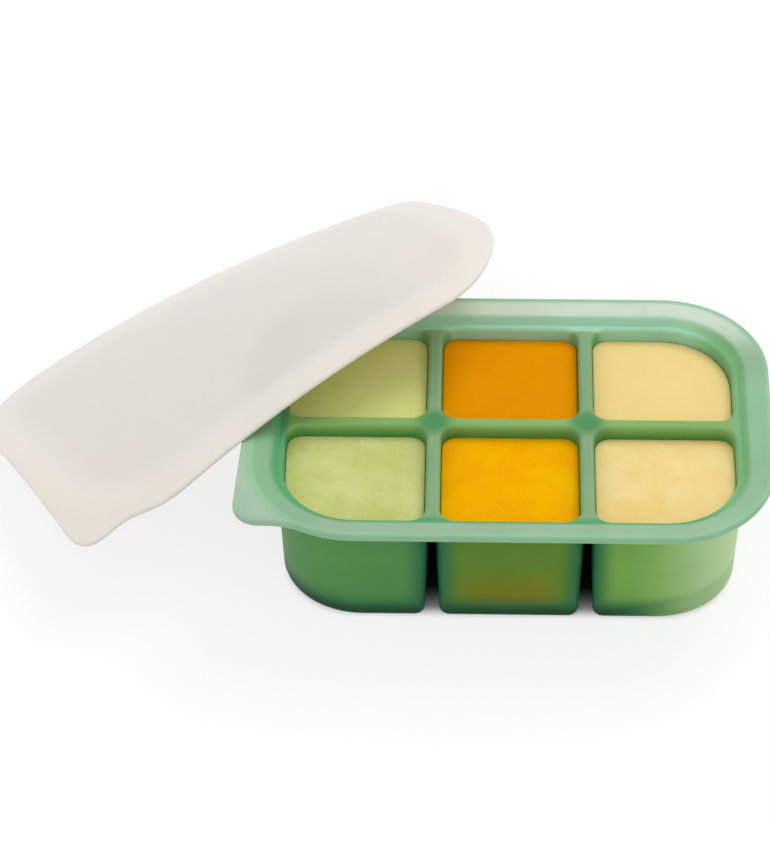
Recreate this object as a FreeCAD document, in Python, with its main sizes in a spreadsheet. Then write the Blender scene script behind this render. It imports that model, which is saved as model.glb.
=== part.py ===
import FreeCAD, Part
import math
import os
import Sketcher

# A freezer tray for baby food: six soft silicone cups under one wide rim, a silicone lid with the
# outline of the rim that leans on its back left corner, and six frozen portions of puree in the
# cups. Millimetres, +Z up, +X to the right along the tray and +Y to the back. The origin is on the
# table, at the middle of the base of the front middle cup. Every piece is drawn about the middle of
# the tray and placed from there.

doc = FreeCAD.newDocument("FreezerTray")
sheet = doc.addObject("Spreadsheet::Sheet", "Sizes")

sizes = [
    # outline of the rim, which the lid shares
    ("rimLength", 186, "long way, without the pull tab"),
    ("rimWidth", 126, "short way"),
    ("rimCorner", 38, "corner radius"),
    ("tabReach", 4.5, "pull tab, out past the short side"),
    ("tabSetback", 7, "front edge of the rim to the front edge of the tab"),
    ("tabLength", 80, "tab, along the short side"),
    ("tabTip", 9, "radius of its tip"),
    ("tabBlend", 28, "hollow between the tab and the corner"),
    ("cupMiddle", 27.5, "origin back to the middle of the tray"),
    # rim of the tray
    ("rimHeight", 50, "table to the top of the rim"),
    ("rimThickness", 3, "edge of the rim"),
    ("rimLip", 1.4, "level strip along the outer edge"),
    ("rimBand", 8.5, "edge of the rim to the inside of the band"),
    ("rimDish", 1.3, "fall of the band towards the recess"),
    ("rimRound", 0.9, "rounding of the edge"),
    ("bandRound", 1.5, "rounding from the band into the recess"),
    ("recessRun", 2.4, "slope of the recess, sideways"),
    ("recessDepth", 4, "top of the rim down to the tops of the dividers"),
    ("recessFoot", 0.7, "hollow at the foot of that slope"),
    # cups
    ("cupInset", 12.8, "edge of the rim to the mouths of the cups"),
    ("cupPitch", 54.5, "middle of one cross divider to the other"),
    ("dividerTop", 4.9, "thickness of a divider at its top"),
    ("draft", 2.6, "lean of every cup wall, in degrees"),
    ("floorThickness", 2.2, "floor of a cup"),
    ("innerCorner", 6, "upright corners inside a cup"),
    ("innerBigCorner", 25.5, "the four corners of the tray, inside"),
    ("floorRound", 3.5, "rounding along the floor, inside"),
    ("mouthRound", 1.5, "rounding of the mouths"),
    ("endOverhang", 10, "rim end out past the cups"),
    ("sideOverhang", 8.5, "rim side out past the cups"),
    ("outerCorner", 5.5, "upright corners beside the slots"),
    ("outerBigCorner", 31, "the four corners of the tray, outside"),
    ("slotTop", 1.5, "gap between two cups at its top"),
    ("slotRoof", 2.6, "tops of the dividers down to the slots"),
    ("underRound", 1.6, "hollow between the cups and the rim"),
    ("baseRound", 2.2, "rounding around the base of a cup"),
    # lid
    ("lidThickness", 1.8, "band of the lid"),
    ("panelThickness", 1.6, "sunk panel of the lid"),
    ("plugDepth", 2.8, "underside of the band down to the bottom of the panel"),
    ("plugFit", 0.5, "gap all round between the panel and the recess"),
    ("lidRound", 0.7, "rounding of the lid edge"),
    ("panelRound", 1.3, "rounding along the panel"),
    # how the soft lid sags
    ("flexLong", 567.5, "radius of its gentler bend"),
    ("flexShort", 165.5, "radius of the bend across that"),
    ("flexHeading", -14.2, "direction of the gentler bend, in degrees"),
    # how the lid leans, with its back left corner on the table
    ("lidTurn", 32.3, "turn of the lid in its own plane, in degrees"),
    ("leanHeading", 150.1, "direction in which the lid slopes down, in degrees"),
    ("leanAside", 11.7, "rim end out to the middle of the lid"),
    ("leanBack", 54.3, "middle of the tray back to the middle of the lid"),
    ("leanGap", 0.1, "gap where the lid leans on the rim"),
    # frozen portions
    ("fillDepth", 5, "tops of the dividers down to the puree"),
    ("portionFit", 0.3, "gap between a portion and its cup"),
    ("portionCrown", 0.8, "rounding of the top edge of a portion"),
]

for row, (alias, value, note) in enumerate(sizes, start=1):
    sheet.set("A%d" % row, alias)
    sheet.set("B%d" % row, str(value))
    sheet.set("C%d" % row, note)
    sheet.setAlias("B%d" % row, alias)
doc.recompute()


class Length:
    """A length from the sheet, or a sum of them: its expression and its present value."""

    def __init__(self, text, value):
        self.text = text
        self.value = value

    def __add__(self, other):
        return Length("%s + %s" % (self.text, other.text), self.value + other.value)

    def __sub__(self, other):
        return Length("%s - (%s)" % (self.text, other.text), self.value - other.value)

    def __mul__(self, factor):
        return Length("%g * (%s)" % (factor, self.text), self.value * factor)

    def __neg__(self):
        return self * -1


def size(alias):
    return Length("Sizes." + alias, float(sheet.get(alias)))


def leanOver(height):
    """How far a drafted wall moves sideways over a height."""
    slope = math.tan(math.radians(size("draft").value))
    return Length("(%s) * tan(Sizes.draft * 1 deg)" % height.text, height.value * slope)


nothing = Length("0", 0)
halfLength = size("rimLength") * 0.5
halfWidth = size("rimWidth") * 0.5
rimTop = size("rimHeight")
rimUnder = rimTop - size("rimThickness")
bandInner = rimTop - size("rimDish")
dividerLevel = rimTop - size("recessDepth")
slotLevel = dividerLevel - size("slotRoof")
fillLevel = dividerLevel - size("fillDepth")


def originPlane(body, role):
    return [plane for plane in body.Origin.OriginFeatures if plane.Role == role][0]


def newBody(name):
    """A body whose own origin is on the table, under the middle of the tray."""
    body = doc.addObject("PartDesign::Body", name)
    body.Label = name
    body.setExpression("Placement.Base.y", "Sizes.cupMiddle")
    return body


def newSketch(body, name, level):
    sketch = body.newObject("Sketcher::SketchObject", name)
    sketch.AttachmentSupport = [(originPlane(body, "XY_Plane"), "")]
    sketch.MapMode = "FlatFace"
    sketch.setExpression("AttachmentOffset.Base.z", level.text)
    return sketch


def addDatum(sketch, kind, where, length, name):
    """A driving dimension that follows the sheet, kept positive."""
    number = sketch.addConstraint(Sketcher.Constraint(kind, *where, abs(length.value)))
    sketch.renameConstraint(number, name)
    follows = length if length.value >= 0 else -length
    sketch.setExpression("Constraints." + name, follows.text)


def placeAlong(sketch, axis, point, length, name):
    """Holds a point at a signed distance from the origin along X or Y."""
    origin = (-1, 1)
    where = origin + point if length.value >= 0 else point + origin
    addDatum(sketch, "Distance" + axis, where, length, name)


def drawOutline(sketch, left, right, front, back, radii):
    """A rounded rectangle. radii go anticlockwise from the front left corner."""
    x0, x1, y0, y1 = left.value, right.value, front.value, back.value
    corners = [(x0, y0, 1, 1), (x1, y0, -1, 1), (x1, y1, -1, -1), (x0, y1, 1, -1)]
    starts = [math.pi, 1.5 * math.pi, 0, 0.5 * math.pi]
    upright = FreeCAD.Vector(0, 0, 1)
    arcs = []
    for (x, y, inX, inY), start, radius in zip(corners, starts, radii):
        centre = FreeCAD.Vector(x + inX * radius.value, y + inY * radius.value, 0)
        circle = Part.Circle(centre, upright, radius.value)
        arcs.append(sketch.addGeometry(Part.ArcOfCircle(circle, start, start + 0.5 * math.pi)))
    followed = arcs[1:] + arcs[:1]
    lines = []
    for here, there in zip(arcs, followed):
        begin = sketch.getPoint(here, 2)
        end = sketch.getPoint(there, 1)
        lines.append(sketch.addGeometry(Part.LineSegment(begin, end)))
    for side, (line, here, there) in enumerate(zip(lines, arcs, followed)):
        sketch.addConstraint(Sketcher.Constraint("Tangent", here, 2, line, 1))
        sketch.addConstraint(Sketcher.Constraint("Tangent", line, 2, there, 1))
        sketch.addConstraint(Sketcher.Constraint("Vertical" if side % 2 else "Horizontal", line))
    placeAlong(sketch, "Y", (lines[0], 1), front, "front")
    placeAlong(sketch, "X", (lines[1], 1), right, "right")
    placeAlong(sketch, "Y", (lines[2], 1), back, "back")
    placeAlong(sketch, "X", (lines[3], 1), left, "left")
    for number, (arc, radius) in enumerate(zip(arcs, radii)):
        addDatum(sketch, "Radius", (arc,), radius, "corner%d" % number)


def outlineSketch(body, name, level, endInset, sideInset=None, corner=None):
    """The outline of the rim moved inwards, with its own corner radius if one is given."""
    sideInset = sideInset or endInset
    corner = corner or size("rimCorner") - endInset
    across = halfLength - endInset
    along = halfWidth - sideInset
    sketch = newSketch(body, name, level)
    drawOutline(sketch, -across, across, -along, along, [corner] * 4)
    return sketch


def drawTab(sketch):
    """A pull tab that flares out of the short side and ends in a round tip near the front."""
    side = -halfLength
    tip = side - size("tabReach")
    inner = side + size("rimCorner") * 0.6
    front = size("tabSetback") - halfWidth
    rear = front + size("tabLength")
    corners = [(inner, front), (inner, rear), (side, rear), (tip, front)]
    points = [FreeCAD.Vector(x.value, y.value, 0) for x, y in corners]
    lines = []
    for begin, end in zip(points, points[1:] + points[:1]):
        lines.append(sketch.addGeometry(Part.LineSegment(begin, end)))
    for line, following in zip(lines, lines[1:] + lines[:1]):
        sketch.addConstraint(Sketcher.Constraint("Coincident", line, 2, following, 1))
    sketch.addConstraint(Sketcher.Constraint("Vertical", lines[0]))
    sketch.addConstraint(Sketcher.Constraint("Horizontal", lines[1]))
    sketch.addConstraint(Sketcher.Constraint("Horizontal", lines[3]))
    placeAlong(sketch, "X", (lines[0], 1), inner, "inner")
    placeAlong(sketch, "Y", (lines[0], 1), front, "front")
    placeAlong(sketch, "Y", (lines[1], 1), rear, "rear")
    placeAlong(sketch, "X", (lines[1], 2), side, "side")
    placeAlong(sketch, "X", (lines[3], 1), tip, "tip")


def addPad(body, name, sketch, length, down=False, drafted=False):
    pad = body.newObject("PartDesign::Pad", name)
    pad.Profile = sketch
    pad.setExpression("Length", length.text)
    pad.Reversed = down
    if drafted:
        pad.setExpression("TaperAngle", "-Sizes.draft")
    return pad


def addPocket(body, name, sketch, length):
    pocket = body.newObject("PartDesign::Pocket", name)
    pocket.Profile = sketch
    pocket.setExpression("Length", length.text)
    pocket.setExpression("TaperAngle", "-Sizes.draft")
    return pocket


def addLoft(body, kind, name, sketches):
    loft = body.newObject("PartDesign::" + kind, name)
    loft.Profile = sketches[0]
    loft.Sections = sketches[1:]
    loft.Ruled = True
    return loft


def roundEdges(body, name, radius, wanted):
    """Fillets the edges of the body so far that pass a test."""
    doc.recompute()
    base = body.Tip
    edges = enumerate(base.Shape.Edges, start=1)
    names = ["Edge%d" % number for number, edge in edges if wanted(edge)]
    fillet = body.newObject("PartDesign::Fillet", name)
    fillet.Base = (base, names)
    fillet.setExpression("Radius", radius.text)
    return fillet


def level(height, inset=None):
    """Picks edges that lie level at a height, and within the rim less an inset if one is given."""

    def wanted(edge):
        box = edge.BoundBox
        flat = abs(box.ZMin - height.value) < 0.02 and abs(box.ZMax - height.value) < 0.02
        if inset is None:
            return flat
        reachX = halfLength.value - inset.value + 0.05
        reachY = halfWidth.value - inset.value + 0.05
        within = max(-box.XMin, box.XMax) < reachX and max(-box.YMin, box.YMax) < reachY
        return flat and within

    return wanted


def addRimAndTab(body, top, thickness):
    """A plate with the outline of the rim and the tab merged into it."""
    plate = outlineSketch(body, "rimOutline", top, nothing)
    addPad(body, "rim", plate, thickness, down=True)
    tab = newSketch(body, "tabOutline", top)
    drawTab(tab)
    addPad(body, "tab", tab, thickness, down=True)
    tipX = -(halfLength + size("tabReach")).value
    frontY = (size("tabSetback") - halfWidth).value

    def tipEdge(edge):
        box = edge.BoundBox
        return abs(box.XMax - tipX) < 0.01 and box.ZLength > 0.9 * thickness.value

    def hollowEdge(edge):
        box = edge.BoundBox
        upright = box.ZLength > 0.9 * thickness.value and box.XLength < 0.01
        return upright and abs(box.YMin - frontY) < 0.01 and box.XMin > tipX + 1

    roundEdges(body, "tabTip", size("tabTip"), tipEdge)
    roundEdges(body, "tabHollow", size("tabBlend"), hollowEdge)


# ---- cups and portions ----------------------------------------------------------------------------

places = [("left", -1), ("middle", 0), ("right", 1)]
rows = [("front", -1), ("rear", 1)]


def cupOutline(column, row, farX, farY, fromDivider, small, large):
    """Sides and corner radii of one cup. fromDivider is its distance from a divider's middle."""
    pitch = size("cupPitch") * 0.5
    if column == 0:
        left, right = fromDivider - pitch, pitch - fromDivider
    elif column > 0:
        left, right = pitch + fromDivider, farX
    else:
        left, right = -farX, -(pitch + fromDivider)
    front, back = (fromDivider, farY) if row > 0 else (-farY, -fromDivider)
    radii = [small] * 4
    if column:
        radii[{(-1, -1): 0, (1, -1): 1, (1, 1): 2, (-1, 1): 3}[(column, row)]] = large
    return left, right, front, back, radii


def innerOutline(column, row, inset):
    """The inside of a cup at the tops of the dividers, made smaller by an inset."""
    farX = halfLength - size("cupInset") - inset
    farY = halfWidth - size("cupInset") - inset
    fromDivider = size("dividerTop") * 0.5 + inset
    small = size("innerCorner") - inset
    large = size("innerBigCorner") - inset
    return cupOutline(column, row, farX, farY, fromDivider, small, large)


def outerOutline(column, row):
    """The outside of a cup at the roof of the slots."""
    leaned = leanOver(rimUnder - slotLevel)
    farX = halfLength - size("endOverhang") - leaned
    farY = halfWidth - size("sideOverhang") - leaned
    large = size("outerBigCorner") - leaned
    return cupOutline(column, row, farX, farY, size("slotTop") * 0.5, size("outerCorner"), large)


def makeTray():
    body = newBody("tray")
    addRimAndTab(body, rimTop, size("rimThickness"))
    roundEdges(body, "rimEdges", size("rimRound"), lambda edge: edge.BoundBox.ZLength < 0.02)
    web = outlineSketch(
        body, "webOutline", rimUnder, size("endOverhang"), size("sideOverhang"), size("outerBigCorner")
    )
    addPad(body, "web", web, rimUnder - slotLevel, down=True, drafted=True)
    roundEdges(body, "underEdge", size("underRound"), level(rimUnder, size("sideOverhang")))
    for place, column in places:
        for end, row in rows:
            sketch = newSketch(body, "%s%sOutside" % (end, place.title()), slotLevel)
            drawOutline(sketch, *outerOutline(column, row))
            addPad(body, "%s%sCup" % (end, place.title()), sketch, slotLevel, down=True, drafted=True)
    recess = [
        outlineSketch(body, "lipInside", rimTop, size("rimLip")),
        outlineSketch(body, "bandInside", bandInner, size("rimBand")),
        outlineSketch(body, "recessFloor", dividerLevel, size("rimBand") + size("recessRun")),
    ]
    addLoft(body, "SubtractiveLoft", "recess", recess)
    for place, column in places:
        for end, row in rows:
            sketch = newSketch(body, "%s%sMouth" % (end, place.title()), dividerLevel)
            drawOutline(sketch, *innerOutline(column, row, nothing))
            depth = dividerLevel - size("floorThickness")
            addPocket(body, "%s%sCavity" % (end, place.title()), sketch, depth)
    recessEdge = size("rimBand") + size("recessRun")
    roundEdges(body, "floorEdges", size("floorRound"), level(size("floorThickness")))
    roundEdges(body, "baseEdges", size("baseRound"), level(nothing))
    roundEdges(body, "mouthEdges", size("mouthRound"), level(dividerLevel, size("cupInset")))
    roundEdges(body, "recessFootEdge", size("recessFoot"), level(dividerLevel, recessEdge))
    roundEdges(body, "bandEdge", size("bandRound"), level(bandInner, size("rimBand")))
    return body


def makePortion(column, row, name):
    """Puree frozen to the shape of its cup, with the crown it sets with."""
    body = newBody(name)
    inset = leanOver(size("fillDepth")) + size("portionFit")
    sketch = newSketch(body, "top", fillLevel)
    drawOutline(sketch, *innerOutline(column, row, inset))
    foot = size("floorThickness") + size("portionFit")
    addPad(body, "block", sketch, fillLevel - foot, down=True, drafted=True)
    roundEdges(body, "footEdges", size("floorRound") - size("portionFit"), level(foot))
    body.Tip = roundEdges(body, "topEdges", size("portionCrown"), level(fillLevel))
    return body


# ---- lid ------------------------------------------------------------------------------------------

# The lid is drawn level about its middle, where the underside of its band is at z = 0. Being soft,
# it sags from there: each of its faces follows the top of a torus, whose two radii are its bends.
# Upright blocks with the outlines of the band, the plug and the sink are trimmed by such tori.

bandTop = size("lidThickness")
plugUnder = -size("plugDepth")
panelTop = plugUnder + size("panelThickness")
plugWall = size("rimBand") + size("plugFit") + size("recessRun") * 0.5
sinkWall = plugWall + size("panelThickness")
blockTop = size("lidThickness") * 3
blockHeight = halfWidth
panelRound = Length(
    "min(Sizes.panelRound; 0.45 * Sizes.plugDepth)",
    min(size("panelRound").value, 0.45 * size("plugDepth").value),
)


def flexedSheet(name, height):
    """A torus whose top is the sagging sheet of the lid, raised by a height."""
    torus = doc.addObject("Part::Torus", name)
    torus.setExpression("Radius1", "Sizes.flexLong - Sizes.flexShort")
    torus.setExpression("Radius2", (size("flexShort") + height).text)
    upright = FreeCAD.Rotation(size("flexHeading").value, 0, -90)
    torus.Placement = FreeCAD.Placement(FreeCAD.Vector(0, 0, 0), upright)
    torus.setExpression("Placement.Base.z", "-Sizes.flexLong")
    return torus


def sheetHeight(point):
    """How far a point lies over the underside of the band, square to the sagging sheet."""
    heading = math.radians(size("flexHeading").value)
    along = point.x * math.cos(heading) + point.y * math.sin(heading)
    across = point.y * math.cos(heading) - point.x * math.sin(heading)
    shortBend, longBend = size("flexShort").value, size("flexLong").value
    fromRing = math.hypot(along, point.z + longBend) - (longBend - shortBend)
    return math.hypot(fromRing, across) - shortBend


def rimInset(point):
    """How far a point lies in from the outline of the rim."""
    corner = size("rimCorner").value
    beyondX = max(0, abs(point.x) - halfLength.value + corner)
    beyondY = max(0, abs(point.y) - halfWidth.value + corner)
    return corner - math.hypot(beyondX, beyondY)


def onSheet(height, outer):
    """Picks edges that follow the sheet at a height, along the rim or around the panel."""

    def wanted(edge):
        begin, end = edge.ParameterRange
        points = [edge.valueAt(begin + (end - begin) * share) for share in (0.1, 0.5, 0.9)]
        follows = all(abs(sheetHeight(point) - height.value) < 0.02 for point in points)
        return follows and (rimInset(points[1]) < 0.5 * plugWall.value) == outer

    return wanted


def newBlock(name, inset=None):
    """An upright block: the outline of the rim moved inwards, or the rim and its tab."""
    block = doc.addObject("PartDesign::Body", name)
    block.Label = name
    if inset is None:
        addRimAndTab(block, blockTop, blockHeight)
    else:
        sketch = outlineSketch(block, name + "Outline", blockTop, inset)
        addPad(block, name + "Pad", sketch, blockHeight, down=True)
    return block


def combine(kind, name, base, tool):
    result = doc.addObject("Part::" + kind, name)
    result.Base = base
    result.Tool = tool
    return result


def makeLid():
    below = combine("Common", "bandBlock", newBlock("rimBlock"), flexedSheet("bandTopSheet", bandTop))
    band = combine("Cut", "band", below, flexedSheet("bandUnderSheet", nothing))
    middle = flexedSheet("bandMiddleSheet", bandTop * 0.5)
    below = combine("Common", "plugInBand", newBlock("plugBlock", plugWall), middle)
    plug = combine("Cut", "plug", below, flexedSheet("panelUnderSheet", plugUnder))
    sink = combine(
        "Cut", "sink", newBlock("sinkBlock", sinkWall), flexedSheet("panelTopSheet", panelTop)
    )
    plugged = combine("Fuse", "pluggedBand", band, plug)
    body = newBody("lid")
    body.BaseFeature = combine("Cut", "sharpLid", plugged, sink)
    panelLevels = [
        ("sinkTop", bandTop), ("sinkFoot", panelTop), ("plugTop", nothing), ("plugFoot", plugUnder)
    ]
    for name, height in panelLevels:
        roundEdges(body, name, panelRound, onSheet(height, outer=False))
    for name, height in [("bandTopEdge", bandTop), ("bandUnderEdge", nothing)]:
        body.Tip = roundEdges(body, name, size("lidRound"), onSheet(height, outer=True))
    return body


def lowest(shape):
    """The height of the lowest point of a shape."""
    reach = 4 * size("rimLength").value
    ground = Part.makePlane(reach, reach, FreeCAD.Vector(-reach / 2, -reach / 2, -reach))
    return shape.distToShape(ground)[0] - reach


def leanLid(lid, tray):
    """Stands the back left corner of the lid on the table and leans it on the rim of the tray."""
    heading = math.radians(size("leanHeading").value)
    axis = FreeCAD.Vector(-math.sin(heading), math.cos(heading), 0)
    turn = FreeCAD.Rotation(FreeCAD.Vector(0, 0, 1), size("lidTurn").value)
    back = size("cupMiddle") + size("leanBack")
    middle = FreeCAD.Vector(-(halfLength + size("leanAside")).value, back.value, 0)
    rim = Part.makeCompound([face for face in tray.Shape.Faces if face.BoundBox.ZMin > slotLevel.value])
    lid.setExpression("Placement.Base.y", None)

    def gapAt(lean):
        lid.Placement = FreeCAD.Placement(middle, FreeCAD.Rotation(axis, lean) * turn)
        drop = lowest(lid.Shape)
        lid.Placement.Base.z = -drop
        return lid.Shape.distToShape(rim)[0] - size("leanGap").value

    flat, steep, lean = 15.0, 41.0, 37.0
    over = gapAt(steep)
    while over > 0.01 and steep - flat > 0.001:
        gap = gapAt(lean)
        if gap > 0:
            slope = (over - gap) / (steep - lean)
            steep, over = lean, gap
            lean = max(steep - 0.95 * gap / slope, 0.5 * (flat + steep))
        else:
            flat = lean
            lean = 0.5 * (flat + steep)
    over = gapAt(steep)
    print("lid leans at", round(steep, 3), "degrees, gap over", round(over, 4))


tray = makeTray()
lid = makeLid()
parts = [tray, lid]
for end, row in rows:
    for place, column in places:
        parts.append(makePortion(column, row, "portion_%s_%s" % (end, place)))
doc.recompute()
leanLid(lid, tray)
doc.recompute()

for item in doc.Objects:
    if "Invalid" in item.State or "Error" in item.State:
        raise RuntimeError(item.Name + " did not build")
os.makedirs("parts", exist_ok=True)
for body in parts:
    if body.Shape.isNull() or not body.Shape.isValid() or len(body.Shape.Solids) != 1:
        raise RuntimeError(body.Label + " is not one valid solid")
    body.Shape.exportStep("parts/%s.step" % body.Label)
    print(body.Label, round(body.Shape.Volume), "mm3")
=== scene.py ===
import math

import bpy
from mathutils import Matrix, Vector, noise


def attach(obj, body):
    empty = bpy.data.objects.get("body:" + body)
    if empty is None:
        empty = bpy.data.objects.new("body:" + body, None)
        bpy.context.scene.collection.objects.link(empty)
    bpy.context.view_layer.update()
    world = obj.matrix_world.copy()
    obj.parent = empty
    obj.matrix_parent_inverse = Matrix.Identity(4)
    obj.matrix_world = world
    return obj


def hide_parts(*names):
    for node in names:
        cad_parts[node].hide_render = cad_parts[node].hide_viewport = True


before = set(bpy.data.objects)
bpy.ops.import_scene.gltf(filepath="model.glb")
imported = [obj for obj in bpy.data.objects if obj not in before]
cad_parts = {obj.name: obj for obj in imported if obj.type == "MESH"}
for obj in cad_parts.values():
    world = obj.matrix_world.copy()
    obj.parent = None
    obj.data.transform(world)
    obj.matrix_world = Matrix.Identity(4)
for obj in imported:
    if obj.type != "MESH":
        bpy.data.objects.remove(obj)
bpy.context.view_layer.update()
print("frame loaded:", sorted(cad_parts))

# lengths are in millimetres and become metres where a mesh, a lamp or a camera is made
mm = 0.001
noiseSpan = {1: 0.3, 2: 0.7}  # nearly all that a noise node gives lies between these two
middleY = 27.5  # the origin is under the front middle cup, the middle of the tray lies this far back


def linear(colour):
    channels = [int(colour[i : i + 2], 16) / 255 for i in (1, 3, 5)]
    return [c / 12.92 if c <= 0.04045 else ((c + 0.055) / 1.055) ** 2.4 for c in channels] + [1.0]


def smoothStep(low, high, value):
    share = min(1.0, max(0.0, (value - low) / (high - low)))
    return share * share * (3 - 2 * share)


def roundedOutline(left, right, front, back, radii, perCorner, perSide):
    # points (x, y, outward x, outward y) anticlockwise, radii from the front left corner round
    corners = [
        (right, front, -1, 1, radii[1], -90),
        (right, back, -1, -1, radii[2], 0),
        (left, back, 1, -1, radii[3], 90),
        (left, front, 1, 1, radii[0], 180),
    ]
    arcs = []
    for x, y, inX, inY, radius, start in corners:
        arc = []
        for i in range(perCorner + 1):
            angle = math.radians(start + 90 * i / perCorner)
            nx, ny = math.cos(angle), math.sin(angle)
            arc.append((x + (inX + nx) * radius, y + (inY + ny) * radius, nx, ny))
        arcs.append(arc)
    points = []
    for arc, following in zip(arcs, arcs[1:] + arcs[:1]):
        points += arc
        x0, y0, nx, ny = arc[-1]
        x1, y1 = following[0][:2]
        for i in range(1, perSide):
            share = i / perSide
            points.append((x0 + (x1 - x0) * share, y0 + (y1 - y0) * share, nx, ny))
    return points


def ringMesh(name, rings, firstCentre, lastCentre):
    # a closed skin through rings of equally many points, closed by a fan at each end
    count = len(rings[0])
    vertices = [firstCentre] + [point for ring in rings for point in ring] + [lastCentre]
    last = len(vertices) - 1
    faces = [(0, 1 + (i + 1) % count, 1 + i) for i in range(count)]
    for r in range(len(rings) - 1):
        a, b = 1 + r * count, 1 + (r + 1) * count
        for i in range(count):
            j = (i + 1) % count
            faces.append((a + i, a + j, b + j, b + i))
    end = 1 + (len(rings) - 1) * count
    faces += [(last, end + i, end + (i + 1) % count) for i in range(count)]
    mesh = bpy.data.meshes.new(name)
    mesh.from_pydata([[c * mm for c in vertex] for vertex in vertices], [], faces)
    mesh.shade_smooth()
    piece = bpy.data.objects.new(name, mesh)
    bpy.context.scene.collection.objects.link(piece)
    rounding = piece.modifiers.new("subdivision", "SUBSURF")
    rounding.levels = rounding.render_levels = 1
    return piece


def node(tree, kind, inputs, output=0, stops=(), **settings):
    # adds a node, sets it up, links or fills its inputs and returns one of its outputs
    made = tree.nodes.new("ShaderNode" + kind)
    for key, value in settings.items():
        setattr(made, key, value)
    for key, value in inputs.items():
        if isinstance(value, bpy.types.NodeSocket):
            tree.links.new(value, made.inputs[key])
        else:
            made.inputs[key].default_value = linear(value) if isinstance(value, str) else value
    for number, (position, colour) in enumerate(stops):
        ramp = made.color_ramp.elements
        stop = ramp[number] if number < 2 else ramp.new(position)
        stop.position, stop.color = position, linear(colour)
    return made.outputs[output] if made.outputs else made


def newMaterial(name):
    material = bpy.data.materials.new(name)
    material.use_nodes = True
    material.node_tree.nodes.clear()
    return material, material.node_tree


print("tools ready")


lidSizes = {
    "length": 187.4, "width": 126.8, "corner": 38,
    "freeCorner": 34, "rearCorner": 44,
    "flare": 4.0, "flareWidth": 24, "flareBack": 38,  # the free end has stretched a little
    "tabReach": 4.5, "tabSetback": 7, "tabLength": 80,
    "tabTip": 9, "tabHollow": 28, "tabFades": (1.5, 8.6),
    "band": 9.0, "slope": 2.4, "thickness": 1.8, "plugDepth": 2.8,
    "sink": 1.6, "sinkStart": 4.0, "sinkRun": 15.0,  # the fall from the band down to the panel
    "flexLong": 600, "flexShort": 163, "flexHeading": -13.8,  # radii and direction of the sag
    "middle": (-105.1, 81.5), "lean": 24.98, "heading": 150.3, "turn": 31.5,
}


def tabEdge(s):
    # the tab's outline from where it leaves the short side, round its tip and into the corner
    side, front = -s["length"] / 2, -s["width"] / 2
    frontY = front + s["tabSetback"]
    rear = (side, frontY + s["tabLength"])
    run = math.hypot(s["tabReach"], s["tabLength"])
    inward = (s["tabLength"] / run, -s["tabReach"] / run)
    tip = s["tabTip"]
    tipY = frontY + tip
    tipX = side + (tip - (tipY - rear[1]) * inward[1]) / inward[0]
    start = math.atan2(-inward[1], -inward[0]) % (2 * math.pi)
    points = [rear]
    for i in range(9):
        angle = start + (1.5 * math.pi - start) * i / 8
        points.append((tipX + tip * math.cos(angle), tipY + tip * math.sin(angle)))
    hollow = s["tabHollow"]
    cornerX, cornerY = side + s["corner"], front + s["corner"]
    hollowY = frontY - hollow
    hollowX = cornerX - math.sqrt((s["corner"] + hollow) ** 2 - (hollowY - cornerY) ** 2)
    end = math.atan2(cornerY - hollowY, cornerX - hollowX)
    for i in range(9):
        angle = math.pi / 2 + (end - math.pi / 2) * i / 8
        points.append((hollowX + hollow * math.cos(angle), hollowY + hollow * math.sin(angle)))
    return points


def tabBulge(x, y, nx, ny, edge):
    # how far the tab reaches out past a point of the plain outline
    best = 0.0
    for (ax, ay), (bx, by) in zip(edge, edge[1:]):
        dx, dy = bx - ax, by - ay
        cross = nx * dy - ny * dx
        if abs(cross) < 1e-9:
            continue
        reach = ((ax - x) * dy - (ay - y) * dx) / cross
        share = ((ax - x) * ny - (ay - y) * nx) / cross
        if reach > best and -1e-6 <= share <= 1 + 1e-6:
            best = reach
    return best


def drape(s, x, y, height):
    # a point of the flat lid on its sagging sheet, turned and leant as the lid lies
    flex = math.radians(s["flexHeading"])
    along = x * math.cos(flex) + y * math.sin(flex)
    across = y * math.cos(flex) - x * math.sin(flex)
    fromRing = math.sqrt((s["flexShort"] + height) ** 2 - across**2) + s["flexLong"] - s["flexShort"]
    sheet = math.sqrt(fromRing**2 - along**2) - s["flexLong"]
    heading = math.radians(s["heading"])
    axis = Vector((-math.sin(heading), math.cos(heading), 0))
    lean = Matrix.Rotation(math.radians(s["lean"]), 3, axis)
    turn = Matrix.Rotation(math.radians(s["turn"]), 3, "Z")
    return Vector((*s["middle"], 0)) + lean @ turn @ Vector((x, y, sheet))


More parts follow.
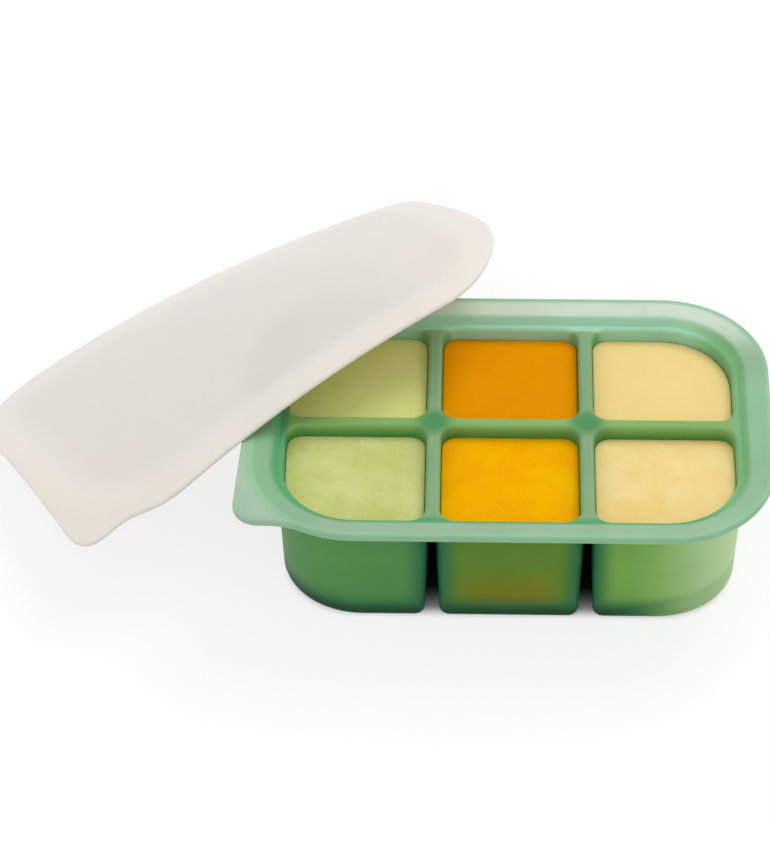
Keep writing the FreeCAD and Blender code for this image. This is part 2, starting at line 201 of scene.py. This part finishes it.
def makeLid(s):
    halfLength, halfWidth = s["length"] / 2, s["width"] / 2
    radii = [s["corner"], s["freeCorner"], s["rearCorner"], s["corner"]]
    plain = roundedOutline(-halfLength, halfLength, -halfWidth, halfWidth, radii, perCorner=18, perSide=14)
    edge = tabEdge(s)
    bulges = []
    for x, y, nx, ny in plain:
        flared = math.hypot(x - halfLength, y + halfWidth - s["flareBack"]) / s["flareWidth"]
        bulges.append(tabBulge(x, y, nx, ny, edge) + s["flare"] * math.exp(-flared * flared))
    top, under = s["thickness"], -s["plugDepth"]
    panelTop = top - s["sink"]
    plugFoot = s["band"] + s["slope"]

    def ring(inset, height, scale=1.0):
        kept = 1 - smoothStep(*s["tabFades"], inset)  # the tab's bulge fades towards the panel
        points = []
        for (x, y, nx, ny), bulge in zip(plain, bulges):
            move = bulge * kept - inset
            points.append(drape(s, (x + nx * move) * scale, (y + ny * move) * scale, height))
        return points

    underside = [
        (plugFoot + 0.9, under), (plugFoot + 0.3, under + 0.12), (plugFoot - 0.1, under + 0.5),
        (s["band"] + 0.4, -0.4), (s["band"] - 0.1, -0.08), (s["band"] - 0.8, 0), (5, 0), (2, 0),
    ]
    lip = [(1.0, 0), (0.4, 0.12), (0.1, 0.45), (0, top / 2), (0.1, top - 0.45), (0.4, top - 0.12)]
    upperSide = [(1.0, top), (2, top)]
    steps = 9
    for i in range(steps + 1):
        inset = s["sinkStart"] + s["sinkRun"] * i / steps
        upperSide.append((inset, top - s["sink"] * smoothStep(0, steps, i)))
    scales = [0.1, 0.22, 0.35, 0.48, 0.61, 0.73, 0.84, 0.93, 1.0]
    flatInset = s["sinkStart"] + s["sinkRun"] + 2
    section = [(plugFoot + 2.4, under, scale) for scale in scales]
    section += [(inset, height, 1.0) for inset, height in underside + lip + upperSide]
    section += [(flatInset, panelTop, scale) for scale in reversed(scales)]
    rings = [ring(*place) for place in section]
    centres = [drape(s, 0, 0, under), drape(s, 0, 0, panelTop)]
    rise = Vector((0, 0, -min(point.z for points in rings for point in points)))
    rings = [[point + rise for point in points] for points in rings]
    piece = ringMesh("siliconeLid", rings, centres[0] + rise, centres[1] + rise)
    insets = [flatInset] + [place[0] for place in section for _ in plain] + [flatInset]
    fromEdge = piece.data.attributes.new("fromEdge", "FLOAT", "POINT")  # for the paler band
    fromEdge.data.foreach_set("value", insets)
    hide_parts("lid")
    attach(piece, "lid")
    return piece


lidPiece = makeLid(lidSizes)
print("lid draped")


cupSizes = {
    "endX": 80.2, "sideY": 50.2, "pitch": 27.25, "halfDivider": 2.45, "draft": 2.6,
    "small": 6.0, "large": 25.5, "dividerTop": 46.0,
    "fill": 41.0, "foot": 2.4, "gap": 0.12, "footRound": 3.2,
    "swell": 0.7, "unevenness": 0.35, "waveWidth": 13, "markWidth": 4, "markDepth": 0.07,
    "sideHeights": (8, 12, 20, 28, 36, 39.8),
    "crown": ((0.03, 0.4), (0.13, 0.17), (0.4, 0.05), (0.9, 0.01)),  # in from the wall, and down
}


def cupSides(s, column, row, near, inset):
    farX, farY = s["endX"] - inset, s["sideY"] - inset
    if column == 0:
        left, right = near - s["pitch"], s["pitch"] - near
    elif column > 0:
        left, right = s["pitch"] + near, farX
    else:
        left, right = -farX, -s["pitch"] - near
    front, back = (near, farY) if row > 0 else (-farY, -near)
    radii = [s["small"] - inset] * 4
    if column:
        radii[{(-1, -1): 0, (1, -1): 1, (1, 1): 2, (-1, 1): 3}[(column, row)]] = s["large"] - inset
    return left, right, front, back, radii


def makePortion(s, column, row, cadNode, seed):
    slope = math.tan(math.radians(s["draft"]))
    inset = (s["dividerTop"] - s["fill"]) * slope + s["gap"]
    left, right, front, back, radii = cupSides(s, column, row, s["halfDivider"] + inset, inset)
    outline = roundedOutline(left, right, front, back, radii, perCorner=8, perSide=9)
    middle = ((left + right) / 2, (front + back) / 2)

    def surface(x, y, share):
        # frozen puree swells a little in the middle and keeps the marks of the spoon
        spot = Vector((x, y, 0))
        wave = noise.fractal(spot / s["waveWidth"] + Vector((0, 0, seed * 7.3)), 1.0, 2.0, 2)
        ripple = noise.noise(spot / s["markWidth"] + Vector((0, 0, seed * 3.1)))
        marks = (s["unevenness"] * wave + s["markDepth"] * ripple) * min(1, 3 * (1.03 - share))
        return s["swell"] * (1 - share * share) + marks

    def topRing(inset, drop, scale=1.0):
        points = []
        for x, y, nx, ny in outline:
            px = middle[0] + (x - nx * inset - middle[0]) * scale
            py = middle[1] + (y - ny * inset - middle[1]) * scale
            points.append((px, py + middleY, s["fill"] - drop + surface(px, py, scale)))
        return points

    def sideRing(z, extra=0.0):
        move = (s["fill"] - z) * slope + extra
        return [(x - nx * move, y - ny * move + middleY, z) for x, y, nx, ny in outline]

    foot = []
    flat = sideRing(s["foot"], s["footRound"])
    centreX, centreY = middle[0], middle[1] + middleY
    for scale in (0.15, 0.4, 0.7, 1.0):
        ring = [(centreX + (x - centreX) * scale, centreY + (y - centreY) * scale, z) for x, y, z in flat]
        foot.append(ring)
    for i in range(4, -1, -1):
        angle = math.radians(18 * i)
        raised, inwards = 1 - math.sin(angle), 1 - math.cos(angle)
        foot.append(sideRing(s["foot"] + s["footRound"] * raised, s["footRound"] * inwards))
    sides = [sideRing(z) for z in s["sideHeights"]]
    crown = [topRing(*place) for place in s["crown"]]
    scales = [1.0, 0.94, 0.87, 0.78, 0.68, 0.58, 0.48, 0.38, 0.28, 0.18, 0.08]
    top = [topRing(2.5, 0, scale) for scale in scales]
    under = (centreX, centreY, s["foot"])
    over = (centreX, centreY, s["fill"] + surface(*middle, 0))
    piece = ringMesh(cadNode.replace("portion", "puree"), foot + sides + crown + top, under, over)
    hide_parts(cadNode)
    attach(piece, cadNode)
    return piece


columns = {"left": -1, "middle": 0, "right": 1}
rows = {"front": -1, "rear": 1}
portions = {}
for end, row in rows.items():
    for place, column in columns.items():
        seed = 2 + column + 3 * (row > 0)
        portions[(end, place)] = makePortion(cupSizes, column, row, "portion_%s_%s" % (end, place), seed)
print("portions filled")


rimSizes = {"length": 186, "width": 126, "corner": 38, "above": 100}  # above: higher than any of it

trayLook = {
    # A coat is a colour, or further coats, and comes in over the coats before it where each place
    # that it names goes from the first of two values to the second, in millimetres.
    "inside": {
        # painted light: the rim is painted paler at the rear and the right, and darker at the left
        "rim": ({
            "front": ("#96B899", {}),
            "rear": ("#CFDECC", {"y": (30, 54)}),
            "left": ("#85B18A", {"x": (-62, -84)}),
            "right": ("#92BD9A", {"x": (62, 84), "y": (42, 5)}),
            "edge": ("#93C09B", {"inset": (3.2, 1)}),
            "tab": ("#A4C1A7", {"inset": (0.3, -1.5)}),
        }, {}),
        # painted light: the recess is painted paler at the rear and the right
        "recess": ({
            "side": ("#5AA571", {}),
            "rear": ("#A4D5B6", {"y": (36, 48)}),
            "left": ("#5AA571", {"x": (-66, -82)}),
            "right": ("#7CB37F", {"x": (62, 80)}),
        }, {"inset": (6.8, 10)}),
        "dividers": ({
            "along": ("#85B066", {}),
            "across": ("#82A87B", {"fromDivider": (5.5, 2.2)}),
            "crossing": ("#4F9058", {"fromCrossing": (9, 2.5)}),
            # painted light: the cup walls are painted paler at the rear
            "walls": ({
                "front": ("#5A9A4C", {}),
                "rear": ("#74B07C", {"y": (38, 48)}),
            }, {"z": (45.2, 41.5)}),
        }, {"inset": (13, 14.6)}),
    },
    # a soft window on each cup, a painted glow of light from its puree through the silicone: orange on the
    # middle cups, and painted paler, as painted light, towards the right end
    "window": {
        "left": ("#57984F", {}),
        "middle": ("#628C26", {"x": (-30, -24)}),
        "right": ("#7AB04E", {"x": (25, 30)}),
        "paintedLitRight": ("#BFDFA4", {"x": (40, 82)}),
        "glow": ("#7E810D", {"aside": (23, 9), "z": (30, 12)}),
    },
    # the deeper green that frames the windows; it fades towards the right end as painted light
    "frame": "#217044", "frameSide": (2, 11), "frameFoot": (3, 13),
    "paintedLitEnd": (36, 66), "paintedLitShare": 0.8,
    # painted shade: dark in the slots between the cups and at the foot of the cups
    "shade": {
        "slot": ("#0A2413", {"fromDivider": (2.6, 1.2)}),
        "foot": ("#0D3B20", {"z": (8, 1), "x": (56, 30)}),
    },
    "underRim": (46, 45.2), "onWall": (12, 11.2), "underFloor": (41, 38.5),  # where the outside begins
    "cloud": 20, "cloudDepth": (0.95, 1.05),
    "wave": 11.1, "waveDepth": 1.2,  # the cups are never quite flat
    "grain": 0.714, "grainDepth": 0.2,  # a blasted mould's is near 0.1, drawn coarser so that it shows
    "rough": (0.40, 0.52), "scatter": 0.35, "depth": 3.0, "gloss": 0.25,
}


def trayPlaces(tree, rim, cups):
    # where a point lies on the tray, in millimetres from the middle of its base
    coords = node(tree, "TexCoord", {}, "Object")
    scaled = node(tree, "VectorMath", {0: coords, "Scale": 1 / mm}, operation="SCALE")
    centred = node(tree, "VectorMath", {0: scaled, 1: (0, middleY, 0)}, operation="SUBTRACT")
    at = {"point": centred}
    for axis in "XYZ":
        at[axis.lower()] = node(tree, "SeparateXYZ", {0: centred}, axis)
    mirrored = node(tree, "VectorMath", {0: centred}, operation="ABSOLUTE")
    at["aside"] = node(tree, "SeparateXYZ", {0: mirrored}, "X")
    at["away"] = node(tree, "SeparateXYZ", {0: mirrored}, "Y")
    # from the middle of the nearest cross divider, under which the slots are, and of its crossing
    fromMiddle = node(tree, "Math", {0: at["aside"], 1: cups["pitch"]}, operation="SUBTRACT")
    at["fromDivider"] = node(tree, "Math", {0: fromMiddle}, operation="ABSOLUTE")
    crossing = node(tree, "CombineXYZ", {"X": at["fromDivider"], "Y": at["away"]})
    at["fromCrossing"] = node(tree, "VectorMath", {0: crossing}, "Value", operation="LENGTH")
    # in from the outline of the rim, whose corners are round, and in from the drafted outer wall
    core = (rim["length"] / 2 - rim["corner"], rim["width"] / 2 - rim["corner"], rim["above"])
    beyond = node(tree, "VectorMath", {0: mirrored, 1: core}, operation="SUBTRACT")
    corner = node(tree, "VectorMath", {0: beyond, 1: (0, 0, 0)}, operation="MAXIMUM")
    reach = node(tree, "VectorMath", {0: corner}, "Value", operation="LENGTH")
    at["inset"] = node(tree, "Math", {0: rim["corner"], 1: reach}, operation="SUBTRACT")
    slope = math.tan(math.radians(cups["draft"]))
    drafted = {0: at["z"], 1: -slope, 2: slope * cups["dividerTop"]}
    drafted = node(tree, "Math", drafted, operation="MULTIPLY_ADD")
    at["fromWall"] = node(tree, "Math", {0: at["inset"], 1: drafted}, operation="SUBTRACT")
    return at


def spread(tree, at, places):
    # 0 to 1, where every one of the places goes from its first value to its second
    amount = None
    for place, (low, high) in places.items():
        eased = node(tree, "MapRange", {0: at[place], 1: low, 2: high}, interpolation_type="SMOOTHSTEP")
        if amount:
            eased = node(tree, "Math", {0: amount, 1: eased}, operation="MULTIPLY")
        amount = eased
    return amount


def painted(tree, at, coats):
    # lays each coat over the ones before it, of which the first has no places and lies everywhere
    colour = None
    for coat, places in coats.values():
        if isinstance(coat, dict):
            coat = painted(tree, at, coat)
        if places:
            mix = {0: spread(tree, at, places), 6: colour, 7: coat}
            coat = node(tree, "Mix", mix, 2, data_type="RGBA")
        colour = coat
    return colour


def outsideOfCups(tree, at, s):
    # the frame fades towards the right end as painted light, and the painted shade of the slots and the
    # foot lies over all
    litEnd = {0: at["x"], 1: s["paintedLitEnd"][0], 2: s["paintedLitEnd"][1], 4: s["paintedLitShare"]}
    litEnd = node(tree, "MapRange", litEnd, interpolation_type="SMOOTHSTEP")
    raised = node(tree, "Math", {0: spread(tree, at, {"z": s["frameFoot"]}), 1: litEnd}, operation="MAXIMUM")
    beside = spread(tree, at, {"fromDivider": s["frameSide"]})
    amount = node(tree, "Math", {0: raised, 1: beside}, operation="MULTIPLY")
    mix = {0: amount, 6: s["frame"], 7: painted(tree, at, s["window"])}
    framed = node(tree, "Mix", mix, 2, data_type="RGBA")
    return painted(tree, at, {"framed": (framed, {}), **s["shade"]})


def traySilicone(s):
    # Platinum silicone, pressed hot between steel moulds: milky green, deep where it is thick, with the
    # soft satin skin of a finely blasted mould.
    # Its tones are painted by place on the tray and don't follow the lamps: painted light makes the rear
    # and the right paler and the left darker, painted shade darkens the slots and the foot of the cups, and
    # the outer walls of the cups carry a painted glow of their purees.
    material, tree = newMaterial("mouldedGreenSilicone")
    at = trayPlaces(tree, rimSizes, cupSizes)
    besideCups = spread(tree, at, {"z": s["underRim"], "fromWall": s["onWall"]})
    underCups = spread(tree, at, {"z": s["underFloor"]})
    outer = node(tree, "Math", {0: besideCups, 1: underCups}, operation="MAXIMUM")
    colours = {0: outer, 6: painted(tree, at, s["inside"]), 7: outsideOfCups(tree, at, s)}
    colour = node(tree, "Mix", colours, 2, data_type="RGBA")
    cloud = node(tree, "TexNoise", {"Vector": at["point"], "Scale": 1 / s["cloud"], "Detail": 3.0})
    thinner, thicker = s["cloudDepth"]
    shade = node(tree, "MapRange", {0: cloud, **noiseSpan, 3: thinner, 4: thicker})
    colour = node(tree, "VectorMath", {0: colour, "Scale": shade}, operation="SCALE")
    skin = node(tree, "TexNoise", {"Vector": at["point"], "Scale": 1 / s["grain"], "Detail": 3.0})
    wave = node(tree, "TexNoise", {"Vector": at["point"], "Scale": 1 / s["wave"], "Detail": 1.0})
    bumps = {"Strength": 0.25, "Distance": s["waveDepth"] * mm, "Height": wave}
    waved = node(tree, "Bump", bumps)
    bumps = {"Strength": 0.12, "Distance": s["grainDepth"] * mm, "Height": skin, "Normal": waved}
    normal = node(tree, "Bump", bumps)
    smooth, dull = s["rough"]
    rough = node(tree, "MapRange", {0: skin, **noiseSpan, 3: smooth, 4: dull})
    surface = node(tree, "BsdfPrincipled", {
        "Base Color": colour, "Roughness": rough, "IOR": 1.41, "Normal": normal,
        "Specular IOR Level": s["gloss"], "Subsurface Weight": s["scatter"],
        "Subsurface Radius": (0.7, 1.0, 0.65), "Subsurface Scale": s["depth"] * mm,
    })
    node(tree, "OutputMaterial", {"Surface": surface})
    return material


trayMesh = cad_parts["tray"].data
trayMesh.materials.clear()
trayMesh.materials.append(traySilicone(trayLook))
print("tray tinted")


lidLook = {
    "cool": "#FCEEE7", "milk": "#FDF0E8", "warm": "#FFEDE5", "cloud": 55.6,
    "band": "#FFF0E8", "bandEdge": (15, 6),  # from the outline in, where the thin band begins; it is painted paler as painted light
    "acrossLid": (-0.54, 0.84, 0), "paintedLitSide": (148, 184),  # the far side, where it bends down, is painted pale too, as painted light
    "panelDepth": 5.5, "bandDepth": 1.1, "panelClear": 0.25, "bandClear": 0.17,
    "grain": 1.11, "grainDepth": 0.2,  # as on the tray, drawn coarser than it is
    "rough": (0.42, 0.55), "bloom": 0.3,  # a dry bloom that pales what is seen at a slant
}


def lidSilicone(s):
    # The same silicone without pigment: milky white, so thin that light comes through it and the
    # green of the tray shows faintly where the two lie close together.
    material, tree = newMaterial("mouldedMilkySilicone")
    coords = node(tree, "TexCoord", {}, "Object")
    place = node(tree, "VectorMath", {0: coords, "Scale": 1 / mm}, operation="SCALE")
    cloud = node(tree, "TexNoise", {"Vector": place, "Scale": 1 / s["cloud"], "Detail": 3.0})
    stops = [(0.3, s["cool"]), (0.5, s["milk"]), (0.7, s["warm"])]
    tint = node(tree, "ValToRGB", {0: cloud}, stops=stops)
    at = {
        "fromEdge": node(tree, "Attribute", {}, "Fac", attribute_name="fromEdge"),
        "across": node(tree, "VectorMath", {0: place, 1: s["acrossLid"]}, "Value", operation="DOT_PRODUCT"),
    }
    # painted light: the band round the edge and the far side are painted paler, with less depth and
    # clearness; the band is also a part of the lid's own shape
    band = spread(tree, at, {"fromEdge": s["bandEdge"]})
    litSideAmount = spread(tree, at, {"across": s["paintedLitSide"]})
    paintedPale = node(tree, "Math", {0: band, 1: litSideAmount}, operation="MAXIMUM")
    tint = node(tree, "Mix", {0: paintedPale, 6: tint, 7: s["band"]}, 2, data_type="RGBA")
    depth = node(tree, "MapRange", {0: paintedPale, 3: s["panelDepth"] * mm, 4: s["bandDepth"] * mm})
    clear = node(tree, "MapRange", {0: paintedPale, 3: s["panelClear"], 4: s["bandClear"]})
    skin = node(tree, "TexNoise", {"Vector": place, "Scale": 1 / s["grain"], "Detail": 2.0})
    normal = node(tree, "Bump", {"Strength": 0.1, "Distance": s["grainDepth"] * mm, "Height": skin})
    smooth, dull = s["rough"]
    rough = node(tree, "MapRange", {0: skin, **noiseSpan, 3: smooth, 4: dull})
    surface = node(tree, "BsdfPrincipled", {
        "Base Color": tint, "Roughness": rough, "IOR": 1.41, "Normal": normal,
        "Subsurface Weight": 1.0, "Subsurface Radius": (1.0, 0.96, 0.92), "Subsurface Scale": depth,
        "Transmission Weight": clear, "Sheen Weight": s["bloom"], "Sheen Roughness": 0.4,
    })
    node(tree, "OutputMaterial", {"Surface": surface})
    return material


lidPiece.data.materials.append(lidSilicone(lidLook))
print("lid tinted")


pureeLooks = {
    "left": {
        "name": "frozenGreenPuree", "slot": "green_puree",
        "dark": "#C0C56E", "body": "#CBCF80", "light": "#D3D68F", "rear": "#ECEF98",
        "bleed": (0.8, 1.0, 0.4), "gloss": 0.2,
    },
    "middle": {
        "name": "frozenOrangePuree", "slot": "orange_puree",
        "dark": "#F1A600", "body": "#F6B000", "light": "#F9BB00", "rear": "#E48A00",
        "bleed": (1.0, 0.4, 0.04), "gloss": 0.02,
    },
    "right": {
        "name": "frozenYellowPuree", "slot": "yellow_puree",
        "dark": "#EFCF80", "body": "#F2D68E", "light": "#F5DD9C", "rear": "#F2D68E",
        "bleed": (1.0, 0.8, 0.5), "gloss": 0.2,
    },
}
pulpSizes = {
    "cloud": 16.7, "pulp": 1.67, "pulpShare": 0.3, "pulpDepth": 0.4,  # patches, and shreds of pulp
    "rearFrom": 24, "rearTo": 31, "rearShare": 0.75,  # the rear row is tinted: paler on the left, as painted light where the lid shades it, and deeper in the middle
    "bleedDepth": 3.0,
}


def frozenPuree(s, sizes):
    # Steamed vegetable or fruit, blended fine, spooned in and frozen: dense, with a dull skin of
    # fine pulp, and a soft glow because light travels a little way into it.
    material, tree = newMaterial(s["name"])
    coords = node(tree, "TexCoord", {}, "Object")
    place = node(tree, "VectorMath", {0: coords, "Scale": 1 / mm}, operation="SCALE")
    cloudy = {"Vector": place, "Scale": 1 / sizes["cloud"], "Detail": 4.0, "Roughness": 0.55}
    cloud = node(tree, "TexNoise", cloudy)
    pulpy = {"Vector": place, "Scale": 1 / sizes["pulp"], "Detail": 4.0, "Roughness": 0.6}
    pulp = node(tree, "TexNoise", pulpy)
    blended = node(tree, "Mix", {0: sizes["pulpShare"], 2: cloud, 3: pulp}, data_type="FLOAT")
    stops = [(0.35, s["dark"]), (0.5, s["body"]), (0.64, s["light"])]
    tint = node(tree, "ValToRGB", {0: blended}, stops=stops)
    # the rear row's tint: on the green it is painted light, paler where the lid shades it
    back = node(tree, "SeparateXYZ", {0: place}, "Y")
    behind = {0: back, 1: sizes["rearFrom"], 2: sizes["rearTo"], 4: sizes["rearShare"]}
    behind = node(tree, "MapRange", behind, interpolation_type="SMOOTHSTEP")
    tint = node(tree, "Mix", {0: behind, 6: tint, 7: s["rear"]}, 2, data_type="RGBA")
    bumps = {"Strength": 0.3, "Distance": sizes["pulpDepth"] * mm, "Height": pulp}
    surface = node(tree, "BsdfPrincipled", {
        "Base Color": tint, "Roughness": 0.55, "IOR": 1.36, "Normal": node(tree, "Bump", bumps),
        "Specular IOR Level": s["gloss"], "Subsurface Weight": 0.5,
        "Subsurface Radius": s["bleed"], "Subsurface Scale": sizes["bleedDepth"] * mm,
    })
    node(tree, "OutputMaterial", {"Surface": surface})
    return material


for place, look in pureeLooks.items():
    puree = frozenPuree(look, pulpSizes)
    for end in rows:
        portions[(end, place)].data.materials.append(puree)
print("purees tinted")


studio = {
    "floorSize": 9000, "sunk": 0.2, "paper": "#E7E6E5", "fleck": "#EBEAE9", "flecks": 225,
    "trayCore": (54, 26, 100),  # the tray covers the floor this far round the middle, and 25 more
    # the floor glows from the tray's edge out, and is painted dark under the tray, a painted shadow
    "glow": 0.8, "glowFrom": (21, 28), "shaded": "#33402E", "shadedFrom": (22.5, 10),
    "sky": 0.735,
    "keyPower": 44.5, "keySize": 1900, "keyPlace": (1300, 1900, 2900),
    "fillPower": 3.0, "fillSize": 1500, "fillPlace": (-1100, -900, 1300),
    "aim": 30,  # height at which the lamps point
}


def seenDirectly(tree):
    camera, glossy, through = (
        node(tree, "LightPath", {}, "Is %s Ray" % name) for name in ("Camera", "Glossy", "Transmission")
    )
    seen = node(tree, "Math", {0: camera, 1: glossy}, operation="MAXIMUM")
    return node(tree, "Math", {0: seen, 1: through}, operation="MAXIMUM")


def makeFloor(s):
    half = s["floorSize"] / 2 * mm
    mesh = bpy.data.meshes.new("lightTable")
    corners = [(-half, -half, 0), (half, -half, 0), (half, half, 0), (-half, half, 0)]
    mesh.from_pydata(corners, [], [(0, 1, 2, 3)])
    floor = bpy.data.objects.new("lightTable", mesh)
    bpy.context.scene.collection.objects.link(floor)
    floor.location.z = -s["sunk"] * mm
    mesh.materials.append(tableAcrylic(s))


def tableAcrylic(s):
    # Cast white acrylic, sanded matt, of a light table: it glows evenly, so that shadows on it
    # stay faint, but not under the tray, where it is painted dark, a painted shadow where the cups stand on
    # it.
    material, tree = newMaterial("frostedWhiteAcrylic")
    seen = seenDirectly(tree)
    coords = node(tree, "TexCoord", {}, "Object")
    point = node(tree, "VectorMath", {0: coords, "Scale": 1 / mm}, operation="SCALE")
    centred = node(tree, "VectorMath", {0: point, 1: (0, middleY, 0)}, operation="SUBTRACT")
    mirrored = node(tree, "VectorMath", {0: centred}, operation="ABSOLUTE")
    beyond = node(tree, "VectorMath", {0: mirrored, 1: s["trayCore"]}, operation="SUBTRACT")
    beyond = node(tree, "VectorMath", {0: beyond, 1: (0, 0, 0)}, operation="MAXIMUM")
    at = {"fromTray": node(tree, "VectorMath", {0: beyond}, "Value", operation="LENGTH")}
    grain = node(tree, "TexNoise", {"Vector": point, "Scale": 1 / s["flecks"], "Detail": 2.0})
    tone = node(tree, "ValToRGB", {0: grain}, stops=[(0.3, s["paper"]), (0.7, s["fleck"])])
    tone = node(tree, "Mix", {0: seen, 6: tone, 7: "#FFFFFF"}, 2, data_type="RGBA")
    paintedShadow = spread(tree, at, {"fromTray": s["shadedFrom"]})
    tone = node(tree, "Mix", {0: paintedShadow, 6: tone, 7: s["shaded"]}, 2, data_type="RGBA")
    clear = spread(tree, at, {"fromTray": s["glowFrom"]})
    clear = node(tree, "Math", {0: clear, 1: s["glow"]}, operation="MULTIPLY")
    amount = node(tree, "Math", {0: seen, 1: clear}, operation="MULTIPLY")
    white = node(tree, "BsdfDiffuse", {0: tone})
    light = node(tree, "Emission", {0: "#FFFFFF", 1: 1.0})
    node(tree, "OutputMaterial", {"Surface": node(tree, "MixShader", {0: amount, 1: white, 2: light})})
    material.cycles.emission_sampling = "NONE"
    return material


def makeSky(s):
    world = bpy.data.worlds.new("studio")
    bpy.context.scene.world = world
    world.use_nodes = True
    tree = world.node_tree
    tree.nodes.clear()
    strength = node(tree, "MapRange", {0: seenDirectly(tree), 3: s["sky"], 4: 1.0})
    background = node(tree, "Background", {0: "#FFFFFF", 1: strength})
    node(tree, "OutputWorld", {0: background})


def addLamp(name, power, side, place):
    light = bpy.data.lights.new(name, "AREA")
    light.energy = power
    light.size = side * mm
    lamp = bpy.data.objects.new(name, light)
    bpy.context.scene.collection.objects.link(lamp)
    lamp.location = Vector(place) * mm
    aim = Vector((0, middleY, studio["aim"])) * mm - lamp.location
    lamp.rotation_euler = aim.to_track_quat("-Z", "Y").to_euler()


makeFloor(studio)
makeSky(studio)
addLamp("keyLamp", studio["keyPower"], studio["keySize"], studio["keyPlace"])
addLamp("fillLamp", studio["fillPower"], studio["fillSize"], studio["fillPlace"])


view = {"down": 43.0, "yaw": -1.64, "roll": -0.52, "lens": 187.06, "place": (-14.8, -1021.5, 1018.6)}


def makeCamera(s):
    down, yaw, roll = (math.radians(s[key]) for key in ("down", "yaw", "roll"))
    forward = Vector((math.sin(yaw) * math.cos(down), math.cos(yaw) * math.cos(down), -math.sin(down)))
    level = Vector((math.cos(yaw), -math.sin(yaw), 0))
    up = level.cross(forward)
    right = level * math.cos(roll) + up * math.sin(roll)
    top = up * math.cos(roll) - level * math.sin(roll)
    data = bpy.data.cameras.new("camera")
    data.sensor_fit = "HORIZONTAL"
    data.lens = s["lens"]
    data.clip_end = 50
    camera = bpy.data.objects.new("camera", data)
    bpy.context.scene.collection.objects.link(camera)
    facing = Matrix((right, top, -forward)).transposed().to_4x4()
    camera.matrix_world = Matrix.Translation(Vector(s["place"]) * mm) @ facing
    bpy.context.scene.camera = camera


makeCamera(view)
bpy.context.scene.view_settings.view_transform = "Standard"
print("studio ready")
